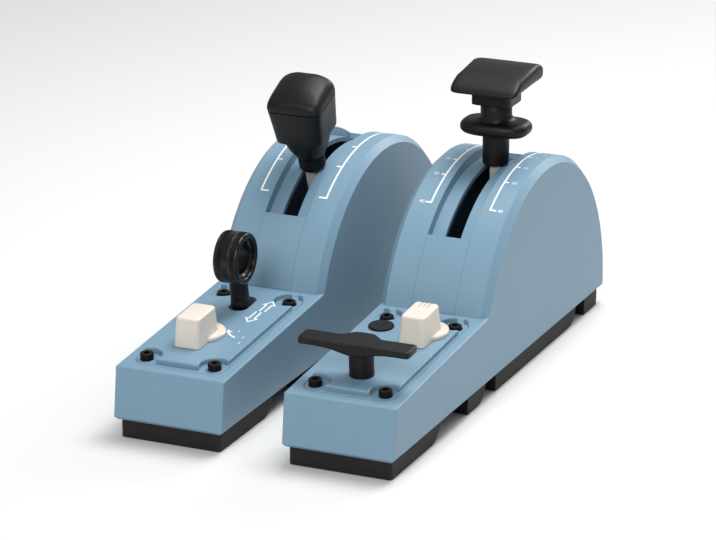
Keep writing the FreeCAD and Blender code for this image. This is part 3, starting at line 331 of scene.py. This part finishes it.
def smooth_levels(levels, steps=6):
    """Catmull-Rom curve through the levels: each span is a cubic whose end slopes are half the
    difference of its neighbours."""
    p = np.asarray(levels, float)
    p = np.concatenate([2 * p[:1] - p[1:2], p, 2 * p[-1:] - p[-2:-1]])
    a, b, c, d = (p[i:len(p) - 3 + i, None] for i in range(4))
    t = (np.arange(steps) / steps)[None, :, None]
    curve = 0.5 * (2 * b + (c - a) * t + (2 * a - 5 * b + 4 * c - d) * t ** 2
                   + (3 * b - a - 3 * c + d) * t ** 3)
    return np.concatenate([curve.reshape(-1, p.shape[1]), p[-2:-1]])


def squared(wave, power):
    """A sine or cosine raised to 2 over the power, with its sign kept."""
    return np.sign(wave) * np.abs(wave) ** (2 / power)


def sections(levels):
    """Rows of (z, half width, half depth, power, y of the middle) to a grid: x is the half width
    times the squared cosine, y the middle plus the half depth times the squared sine."""
    z, a, b, n, y = (np.asarray(levels, float)[:, i, None] for i in range(5))
    t = 2 * math.pi * (np.arange(AROUND) + 0.5) / AROUND
    return np.stack([a * squared(np.cos(t), n), y + b * squared(np.sin(t), n), z + 0 * t], -1)


def closed_mesh(grid):
    """Points and faces of a grid closed round its columns, with a fan at each end."""
    rows, columns = grid.shape[:2]
    points = np.concatenate([grid.reshape(-1, 3), [grid[0].mean(0), grid[-1].mean(0)]])
    j = np.arange(columns)
    k = (j + 1) % columns
    end = (rows - 1) * columns
    first = np.stack([np.full(columns, rows * columns), k, j], -1)
    last = np.stack([np.full(columns, rows * columns + 1), end + j, end + k], -1)
    return points, grid_faces(rows, columns, True) + first.tolist() + last.tolist()


def ring_mesh(grid):
    """Points and faces of a grid closed in both directions."""
    rows, columns = grid.shape[:2]
    return grid.reshape(-1, 3), grid_faces(rows + 1, columns, True, count=rows * columns)


diagonal = math.cos(math.pi / 4)
print("power 8 reaches", round(float(squared(diagonal, 8)), 3), "of the way to a corner")

# %% [markdown]
# ## Pillow surfaces
#
# The top of a soft grip is worked out from its outline inwards. Copies of the outline shrink
# towards the middle, closest together near the rim, and the height there falls away as a high
# power of the fraction. That leaves the middle as it is and rounds only the edge, where a
# subdivided box would round the sides as well.

# %% Shrinking outlines
NEAR_RIM = 0.62 + 0.38 * (1 - (1 - np.linspace(0, 1, 16)) ** 3)
NEAR_MIDDLE = np.array([0.5, 0.38, 0.26, 0.14, 0.04])


def shrunk_outlines(half, power, fractions):
    """One superellipse outline per fraction, shrunk by it about the middle, all at height 0."""
    return sections([[0.0, *half, power, 0.0]] * len(fractions)) * fractions[:, None, None]


print(len(NEAR_RIM), "rows near the rim,", len(NEAR_MIDDLE), "near the middle")

# %% [markdown]
# ## Speed-brake grip
#
# A tapered block on a round neck, closed by a pillow-shaped cap. The joint between the two
# mouldings is a fine step all round. The cap arches from side to side, more at the rear than
# at the front, and its edge turns down in a small rounded shoulder. A bevelled box would give
# the block but not the swelling neck, so the levels are listed from the neck up.

# %% Brake knob and cap
BRAKE_LEAN = 19.9
brake_knob_levels = [
    (96.8, 6.9, 6.9, 2.0, 0), (97.2, 7.6, 7.6, 2.0, 0), (99.5, 8.8, 8.5, 2.3, 0),
    (102.5, 10.0, 9.5, 2.9, 0), (106.0, 10.7, 10.2, 3.8, 0), (110.4, 11.2, 10.8, 5.0, 0),
    (111.0, 12.8, 12.6, 7.0, 0), (111.9, 13.5, 13.2, 8.0, 0), (118.0, 14.1, 13.5, 8.0, 0),
    (125.0, 14.8, 13.8, 8.0, 0), (131.2, 15.5, 14.0, 8.0, 0), (131.7, 15.3, 13.8, 8.0, 0),
    (131.9, 14.6, 13.2, 8.0, 0), (132.0, 13.0, 12.0, 8.0, 0)]
CAP_HALF, CAP_POWER = (15.7, 14.2), 8.0
CAP_SEAM = 132.8
CAP_SHOULDER, SHOULDER_RISE = 3.2, 2.0
CAP_ARCH, ARCH_RISE = 1.6, 3.2
CAP_CROWN = 2.2
CAP_EDGE = (14, 2.4)


def cap_rows(fractions):
    """Rows of the cap: the outline shrunk by each fraction u, at the height of the shoulder plus
    an arch from side to side, both growing towards the rear, plus a crown from front to rear,
    all times (1 - u to the first edge power) to the power of one over the second."""
    u = fractions[:, None]
    grid = shrunk_outlines(CAP_HALF, CAP_POWER, fractions)
    x, y = grid[..., 0] / CAP_HALF[0], grid[..., 1] / CAP_HALF[1]
    rear = (1 + y) / 2
    top = (CAP_SHOULDER + SHOULDER_RISE * rear + (1 - x ** 2) * (CAP_ARCH + ARCH_RISE * rear)
           + CAP_CROWN * (1 - y ** 2))
    grid[..., 2] = CAP_SEAM + top * (1 - u ** CAP_EDGE[0]) ** (1 / CAP_EDGE[1])
    return grid


cap_foot = sections([(132.0, 13.0, 12.0, 8.0, 0), (132.1, 14.7, 13.3, 8.0, 0),
                     (132.3, 15.4, 13.9, 8.0, 0)])
cap_top = cap_rows(np.concatenate([NEAR_RIM[::-1], NEAR_MIDDLE]))
for name, grid in (("brake_knob", sections(smooth_levels(brake_knob_levels))),
                   ("brake_knob_cap", np.concatenate([cap_foot, cap_top]))):
    points, faces = closed_mesh(grid)
    piece = make_piece(name + "_moulding", on_lever("left", BRAKE_LEAN, points), faces,
                       satin_black, "brake_grip")
    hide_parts(name)
    print(piece.name, len(faces))

# %% [markdown]
# ## Flaps grip
#
# The flaps lever ends in a palm pad on a square block. The pad is long from front to back,
# with a crest that runs on a circle and a front edge that dips. A pad, a block and a tube
# could be made apart and joined, but the light would break along the joints. Here one grid
# runs down the bore, out under the block, up its sides, under the pad, round the rim and over
# the top, so the block stays open below and the collar's hub can rise into it.

# %% Flaps pad, block and bore
PAD_FLOOR = 132.6
PAD_HALF, PAD_POWER = (19.4, 22.2), 12.0
PAD_MIDDLE_Y = 0.5
PAD_EDGE = (18, 2.8)
RIM_SHARE = 0.48
FRONT_DROP = 1.5
CREST = ((-19.4, 3.8), (2.0, 9.9), (20.8, 8.2))
CREST_ENDS = (-21.6, 22.6)


def crest_height(y):
    """Circle through the three crest points (y, height): the height above the underside."""
    (x0, y0), (x1, y1), (x2, y2) = CREST
    system = np.array([[2 * (x1 - x0), 2 * (y1 - y0)], [2 * (x2 - x0), 2 * (y2 - y0)]])
    right = np.array([x1 ** 2 - x0 ** 2 + y1 ** 2 - y0 ** 2,
                      x2 ** 2 - x0 ** 2 + y2 ** 2 - y0 ** 2])
    cx, cy = np.linalg.solve(system, right)
    return cy + np.sqrt((x1 - cx) ** 2 + (y1 - cy) ** 2 - (y - cx) ** 2)


def pad_rows(fractions, over):
    """Rows of the pad: the outline shrunk by each fraction u. The rim lies at a share of the
    thickness, and the rows rise from it to the top, or fall from it to the underside, times
    (1 - u to the first edge power) to the power of one over the second. The whole pad sinks
    towards its front edge by the square of the way there."""
    u = fractions[:, None]
    grid = shrunk_outlines(PAD_HALF, PAD_POWER, fractions)
    grid[..., 1] += PAD_MIDDLE_Y
    top = crest_height(np.clip(grid[..., 1], *CREST_ENDS))
    middle = top * RIM_SHARE
    edge = (1 - u ** PAD_EDGE[0]) ** (1 / PAD_EDGE[1])
    sink = FRONT_DROP * (np.clip(PAD_MIDDLE_Y - grid[..., 1], 0, None) / PAD_HALF[1]) ** 2
    grid[..., 2] = PAD_FLOOR - sink + middle + (top - middle if over else -middle) * edge
    return grid


block_and_bore = sections([
    (135.6, 7.3, 7.3, 2, 0), (132.2, 7.3, 7.3, 2, 0), (132.1, 8.6, 8.6, 2, 0),
    (122.7, 8.65, 8.65, 2, 0), (122.5, 8.8, 8.8, 2.2, 0), (122.5, 10.9, 9.3, 7, 0),
    (122.7, 11.3, 9.75, 8, 0), (123.2, 11.5, 9.9, 8, 0), (132.0, 11.5, 9.9, 8, 0),
    (132.7, 11.8, 10.2, 8, 0)])
under = pad_rows(NEAR_RIM, over=False)
over = pad_rows(np.concatenate([NEAR_RIM[-2::-1], NEAR_MIDDLE]), over=True)
points, faces = closed_mesh(np.concatenate([block_and_bore, under, over]))
pad = make_piece("flaps_grip_moulding", on_lever("right", 0.0, points), faces, satin_black,
                 "flaps_lever")
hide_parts("flaps_grip")
print(pad.name, len(faces))

# %% [markdown]
# ## Lifting collar
#
# Two fingers lift this ring to free the flaps lever from its notch. It is a plate with a round
# lip on a hub that slides on the lever's tube. A turned ring would be round, and this one is
# wider than it is deep, so it is a stack of sections too. The stack runs round the lip, up the
# hub, over its end and down the bore, and meets its own beginning.

# %% Lifting collar
RIM_Z, RIM_R = 109.25, 3.85
COLLAR_HALF, COLLAR_POWER = (19.5, 12.8), 3.0
turn = np.radians(np.linspace(-90, 90, 15))
inset = RIM_R * (1 - np.cos(turn))
lip = np.stack([RIM_Z + RIM_R * np.sin(turn), COLLAR_HALF[0] - inset, COLLAR_HALF[1] - inset,
                COLLAR_POWER + 0 * turn, 0 * turn], -1)
collar_hub = [(113.25, 13.4, 8.9, 2.8, 0), (113.5, 11.2, 8.85, 2.4, 0), (114.2, 9.6, 8.8, 2.1, 0),
              (115.4, 8.8, 8.65, 2, 0), (117.0, 8.6, 8.6, 2, 0), (123.3, 8.6, 8.6, 2, 0),
              (123.5, 8.4, 8.4, 2, 0), (123.5, 7.4, 7.4, 2, 0), (105.6, 7.4, 7.4, 2, 0),
              (105.4, 7.6, 7.6, 2, 0)]
points, faces = ring_mesh(sections(np.concatenate([lip, collar_hub])))
collar = make_piece("flaps_collar_moulding", on_lever("right", 0.0, points), faces, satin_black,
                    "flaps_lift")
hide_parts("flaps_collar")
print(collar.name, len(faces))

# %% [markdown]
# ## Gear wheel
#
# The landing-gear grip is a little tyre. Its tread is a profile carried round the wheel's
# axis, and two bands of it are ribbed so that a thumb can't slip. A bump could draw the ribs,
# but they are real geometry, because they break the wheel's outline. Only one half of the
# profile is written: each row holds the distance across, the radius and the share of the
# rib's depth.

# %% Ribbed tyre
WHEEL_Z, WHEEL_LEAN = 40.7, 12.1
GEAR_PIVOT = (-1.5, 94.0, 36.656)
RIBS, RIB_DEPTH, POINTS_PER_RIB = 78, 0.5, 8


def on_gear(xyz):
    """Points drawn upright about the gear lever's pivot, turned about it by its lean."""
    a = math.radians(WHEEL_LEAN)
    x, y, z = xyz[..., 0], xyz[..., 1], xyz[..., 2]
    return in_row("left", GEAR_PIVOT[0] + x, GEAR_PIVOT[1] + y * math.cos(a) - z * math.sin(a),
                  GEAR_PIVOT[2] + y * math.sin(a) + z * math.cos(a))


def wheel_surface(profile, columns):
    """Profile of (x across, radius, share of rib) carried round: the radius loses the rib
    depth times half of one minus the cosine of the angle times the number of ribs."""
    across, radius, share = (profile[:, i, None] for i in range(3))
    t = 2 * math.pi * np.arange(columns) / columns
    r = radius - share * RIB_DEPTH * (0.5 - 0.5 * np.cos(RIBS * t))
    return np.stack([across + 0 * t, r * np.cos(t), WHEEL_Z + r * np.sin(t)], -1)


half_tread = np.array([
    (0.0, 14.0, 0), (1.2, 14.0, 0), (1.5, 14.0, 0), (1.7, 13.97, 0), (1.8, 13.97, 0.2),
    (1.95, 14.0, 0.6), (2.1, 14.0, 1.0), (3.2, 14.0, 1.0), (4.4, 13.98, 1.0), (5.4, 13.93, 1.0),
    (5.6, 13.9, 0.6), (5.75, 13.8, 0), (6.2, 13.75, 0), (6.6, 13.55, 0), (6.8, 13.2, 0),
    (6.9, 12.7, 0), (6.9, 12.0, 0), (6.75, 11.3, 0), (6.5, 10.95, 0), (6.0, 10.8, 0)])
mirrored = half_tread[:0:-1] * (-1, 1, 1)
tread = np.concatenate([mirrored, half_tread])
points, faces = ring_mesh(wheel_surface(tread, RIBS * POINTS_PER_RIB)[::-1])
tyre = make_piece("gear_tyre_moulding", on_gear(points), faces, wheel_black, "gear_lever")
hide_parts("gear_tyre")
print(tyre.name, len(faces))

# %% [markdown]
# ## Stem of the gear lever
#
# A slim neck joins the wheel to the panel, with a low collar at its foot where it enters the
# slot. The solid stem could be replaced, but it carries the pivot below the panel. So it
# stays, and this sleeve gives the part in view its soft waist.

# %% Stem of the gear lever
stem_levels = [
    (11.8, 4.8, 4.8, 2, 0), (12.0, 5.1, 5.1, 2, 0), (12.6, 5.25, 5.25, 2, 0),
    (14.6, 5.25, 5.25, 2, 0), (15.2, 5.1, 5.1, 2, 0), (15.6, 4.9, 4.9, 2.1, 0),
    (20.0, 4.85, 4.8, 2.3, 0), (25.0, 4.8, 4.75, 2.3, 0), (27.0, 4.9, 4.8, 2.2, 0),
    (28.5, 5.2, 4.9, 2.2, 0)]
points, faces = closed_mesh(sections(smooth_levels(stem_levels, 4)))
stem = make_piece("gear_stem_sleeve", on_gear(points), faces, satin_black, "gear_lever")
print(stem.name, len(faces))

# %% [markdown]
# ## Tee handle
#
# The blade is carried along its length: at each station it is a rounded section whose rear
# edge swells into a bulge at the middle and whose underside drops to meet the boss. Both
# swellings are bell curves, so they have no start or end that the eye could catch. At each
# end the section draws in over half a millimetre, which rounds the blade's tips. Two joined
# boxes would be quicker, but the light would break where they meet.

# %% Tee blade and boss
TEE_Y = 27.8
TEE_HALF, TEE_POWER = 30.8, 6.0
BLADE_FRONT, BLADE_REAR, BULGE = -10.8, 1.6, 6.2
BLADE_TOP, BLADE_LOW, DROP = 23.5, 19.5, 3.4
BULGE_REACH, DROP_REACH = 8.6, 10.5
END_SHRINK, END_REACH = 0.30, 0.45
stations = np.linspace(-TEE_HALF, TEE_HALF, 93)
ends = np.array([0.0, 0.25, 0.7, 1.3])
x = np.concatenate([stations[0] + ends, stations[3:-3], stations[-1] - ends[::-1]])
front = np.full_like(x, BLADE_FRONT)
rear = BLADE_REAR + BULGE * np.exp(-(x / BULGE_REACH) ** 4)
top = np.full_like(x, BLADE_TOP)
low = BLADE_LOW - DROP * np.exp(-(x / DROP_REACH) ** 2)
shrink = 1 - END_SHRINK * np.exp(-((TEE_HALF - np.abs(x)) / END_REACH))
middle_y, half_y = (front + rear) / 2, (rear - front) / 2 * shrink
middle_z, half_z = (top + low) / 2, (top - low) / 2 * shrink
t = 2 * math.pi * (np.arange(96) + 0.5) / 96
blade = np.stack([x[:, None] + 0 * t,
                  middle_y[:, None] + half_y[:, None] * squared(np.cos(t), TEE_POWER),
                  middle_z[:, None] + half_z[:, None] * squared(np.sin(t), TEE_POWER)], -1)
boss = sections(smooth_levels([
    (0.8, 6.3, 6.3, 2, 0), (1.2, 6.5, 6.5, 2, 0), (8.0, 6.45, 6.45, 2, 0),
    (14.0, 6.5, 6.4, 2, 0), (16.5, 6.9, 6.6, 2, 0), (18.4, 8.2, 7.2, 2.2, 0),
    (20.5, 9.2, 7.4, 2.4, 0)]))
for name, grid in (("park_handle_blade", blade), ("park_handle_boss", boss)):
    points, faces = closed_mesh(grid)
    place = on_panel("right", points[..., 0], TEE_Y + points[..., 1], points[..., 2])
    piece = make_piece(name, place, faces, satin_black, "park_control")
    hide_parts("park_handle")
    print(piece.name, len(faces))

# %% [markdown]
# ## Printed scales
#
# White pad print on the real modules: a soft pad carries the ink from a flat plate to a round
# surface. The same is done here. Each mark is drawn flat in millimetres and then laid on the
# hump or the panel, a few hundredths proud of it. A painted picture would need an unwrapped
# housing and would blur close by.

# %% Flat marks laid on a surface
def on_hump_flat(side, x, s):
    """Flat drawing to the hump: the second measure is arc length from upright, to the user."""
    return on_hump(side, x, np.degrees(np.asarray(s) / HUMP_R))


def ribbon(path, width):
    """Strip along a path: each point moves half the width both ways along the mitre, the sum
    of the two normals over one plus their dot product."""
    p = np.asarray(path, float)
    d = np.diff(p, axis=0)
    d /= np.linalg.norm(d, axis=1, keepdims=True)
    n = np.stack([-d[:, 1], d[:, 0]], -1)
    before, after = np.concatenate([n[:1], n]), np.concatenate([n, n[-1:]])
    mitre = (before + after) / (1 + (before * after).sum(-1, keepdims=True))
    return np.stack([p - mitre * width / 2, p + mitre * width / 2], 1)


def face_outwards(piece):
    """Turn the print's faces to the side that the surface shows: up and to the user."""
    for face in piece.data.polygons:
        if face.normal.z < -0.05:
            face.flip()
    piece.data.update()


def print_marks(name, lay, strips):
    """Ribbons laid on a surface and joined into one piece of print."""
    points, faces, start = [], [], 0
    for strip in strips:
        points.append(lay(strip[..., 0], strip[..., 1]).reshape(-1, 3))
        faces += grid_faces(len(strip), 2, start=start)
        start += 2 * len(strip)
    piece = make_piece(name, np.concatenate(points), faces, print_white, "modules", smooth=False)
    face_outwards(piece)
    print(name, len(faces))


ARC = HUMP_R * math.pi / 180
print("one degree of lean is", round(ARC, 3), "mm along the hump")

# %% [markdown]
# ## Scales of the humps
#
# Each hump has a line on both sides of its slot, with a foot at each end and short ticks for
# the settings. The marks are given as degrees of lean, so a scale always agrees with the
# lever that points at it.

# %% Scales of the humps
LINE = 1.0


def scale(side, half, front, rear, foot, marks, tick):
    """Both lines of one hump, from the front foot over the top to the rear foot, with ticks.
    Places along it are degrees of lean. A foot or tick of positive length points outwards, and
    each starts at the far edge of the line."""
    strips = []
    for sign in (-1, 1):
        s = np.linspace(front * ARC, rear * ARC, 90)
        strips.append(ribbon(np.stack([np.full_like(s, sign * half), s], -1), LINE))
        for at, reach in [(front, foot), (rear, foot)] + [(m, tick) for m in marks]:
            start = half - math.copysign(LINE / 2, reach)
            ends = [(sign * start, at * ARC), (sign * (half + reach), at * ARC)]
            strips.append(ribbon(ends, LINE))
    print_marks(side + "_hump_scale", lambda x, s: on_hump_flat(side, x, s), strips)


scale("left", half=19.4, front=36.6, rear=-22.6, foot=-4.4, marks=(21.7, 8.5), tick=-3.2)
scale("right", half=17.0, front=32.5, rear=-20.0, foot=3.4, marks=(18.5, 8.2, -2.6, -11.3),
      tick=2.6)

# %% [markdown]
# ## Arrows of the left panel
#
# Two outlined arrows show the way of the gear lever, and a small curved arrow the way of the
# rotary knob. All are paths with a width, mitred at their corners as a sign writer would.

# %% Arrows of the left panel
SHAFT_HALF, HEAD_HALF, HEAD_LENGTH = 1.5, 3.3, 4.8
OUTLINE, DIAL_LINE = 0.8, 1.0
GEAR_UP = ((12.8, 98.2), (12.8, 84.4))
GEAR_DOWN = ((11.6, 69.5), (11.6, 83.4))
DIAL_SWEEP = [(6.8, 56.4), (8.2, 53.0), (11.0, 50.0), (14.4, 48.0)]
DIAL_HEAD = [(6.0, 53.4), (9.6, 54.8)]


def arrow(tip, tail):
    """Open outline of a block arrow, from its tail round its tip and back, in the panel's
    plane."""
    tip, tail = np.array(tip, float), np.array(tail, float)
    d = (tip - tail) / np.linalg.norm(tip - tail)
    n = np.array([-d[1], d[0]])
    neck = tip - d * HEAD_LENGTH
    return [tail + n * SHAFT_HALF, neck + n * SHAFT_HALF, neck + n * HEAD_HALF, tip,
            neck - n * HEAD_HALF, neck - n * SHAFT_HALF, tail - n * SHAFT_HALF]


arrows = [ribbon(arrow(*GEAR_UP), OUTLINE), ribbon(arrow(*GEAR_DOWN), OUTLINE),
          ribbon(DIAL_SWEEP, DIAL_LINE), ribbon(DIAL_HEAD, DIAL_LINE)]
print_marks("left_panel_arrows", lambda x, y: on_panel("left", x, y), arrows)

# %% [markdown]
# ## Digits
#
# Plain digits stand beside the flaps scale and round the rotary knob. The font object draws
# them flat, as the plate of a pad printer holds them, and its mesh is then bent onto the
# surface like every other mark.

# %% Digits
HUMP_DIGIT, DIAL_DIGIT = 3.0, 3.2
DIGIT_X = 22.6
FLAPS_DIGITS = (("40", 32.5), ("25", 18.5), ("10", 8.2), ("1", -2.6), ("0", -11.3))
DIAL_DIGITS = (("1", (12.8, 56.2)), ("2", (18.2, 49.6)), ("3", (19.4, 42.0)))


def digits(name, text, size, lay):
    """Digits drawn flat about their middle, turned to a mesh and laid on a surface."""
    curve = bpy.data.curves.new(name, "FONT")
    curve.body, curve.size = text, size
    curve.align_x, curve.align_y = "CENTER", "CENTER"
    holder = bpy.data.objects.new(name + "_curve", curve)
    bpy.context.collection.objects.link(holder)
    bpy.context.view_layer.update()
    flat = bpy.data.meshes.new_from_object(holder)
    bpy.data.objects.remove(holder)
    xyz = np.empty(len(flat.vertices) * 3)
    flat.vertices.foreach_get("co", xyz)
    x, y = xyz.reshape(-1, 3)[:, :2].T
    faces = [tuple(f.vertices) for f in flat.polygons]
    piece = make_piece(name, lay(x, y), faces, print_white, "modules", smooth=False)
    face_outwards(piece)
    print(name, len(faces))


for value, lean in FLAPS_DIGITS:
    for sign, hand in ((-1, "left"), (1, "right")):
        digits("flaps_digit_%s_%s" % (value, hand), value, HUMP_DIGIT,
               lambda x, y: on_hump_flat("right", sign * DIGIT_X + x, lean * ARC - y))
for value, place in DIAL_DIGITS:
    digits("autobrake_digit_" + value, value, DIAL_DIGIT,
           lambda x, y: on_panel("left", place[0] + x, place[1] + y))

# %% [markdown]
# ## Studio
#
# A pale floor and three soft lights: the key ahead of the modules and above them, one
# straight above, and one behind them to the right. Round them is an even white surround.
# Nothing in it has an edge, so the satin plastic shows only slow changes of tone. One lamp
# alone would leave the black grips without shape.

# %% Floor, lights and surround
FLOOR_HALF = 4.0
corners = [(-FLOOR_HALF, -FLOOR_HALF, 0), (FLOOR_HALF, -FLOOR_HALF, 0),
           (FLOOR_HALF, FLOOR_HALF, 0), (-FLOOR_HALF, FLOOR_HALF, 0)]
floor_mesh = bpy.data.meshes.new("studio_floor")
floor_mesh.from_pydata(corners, [], [(0, 1, 2, 3)])
floor = bpy.data.objects.new("studio_floor", floor_mesh)
bpy.context.collection.objects.link(floor)
paper, _, paper_shader, _ = new_material("pale_studio_paper")
paper_shader.inputs["Base Color"].default_value = linear("#DCDCDC")
paper_shader.inputs["Roughness"].default_value = 0.9
floor_mesh.materials.append(paper)


def area_light(name, location, aim, size, power):
    """A square soft light at a place, turned to face a point."""
    data = bpy.data.lights.new(name, "AREA")
    data.size, data.energy = size, power
    light = bpy.data.objects.new(name, data)
    toward = np.subtract(aim, location)
    yaw = math.atan2(toward[1], toward[0]) - math.pi / 2
    pitch = math.atan2(toward[2], math.hypot(toward[0], toward[1])) + math.pi / 2
    light.location = location
    light.rotation_euler = (pitch, 0.0, yaw)
    bpy.context.collection.objects.link(light)
    print(name, power, "W")


AIM = (0.0, 0.0, 0.06)
area_light("key_softbox", (0.1, -1.5, 1.1), AIM, 0.8, 15.5)
area_light("top_softbox", (0.14, 0.22, 1.0), AIM, 0.5, 9.0)
area_light("rim_softbox", (0.45, 1.7, 1.0), AIM, 0.7, 13.0)
world = bpy.data.worlds.new("white_surround")
world.use_nodes = True
background = world.node_tree.nodes["Background"]
background.inputs["Color"].default_value = linear("#FFFFFF")
background.inputs["Strength"].default_value = 0.40
bpy.context.scene.world = world
bpy.context.scene.view_settings.view_transform = "Standard"
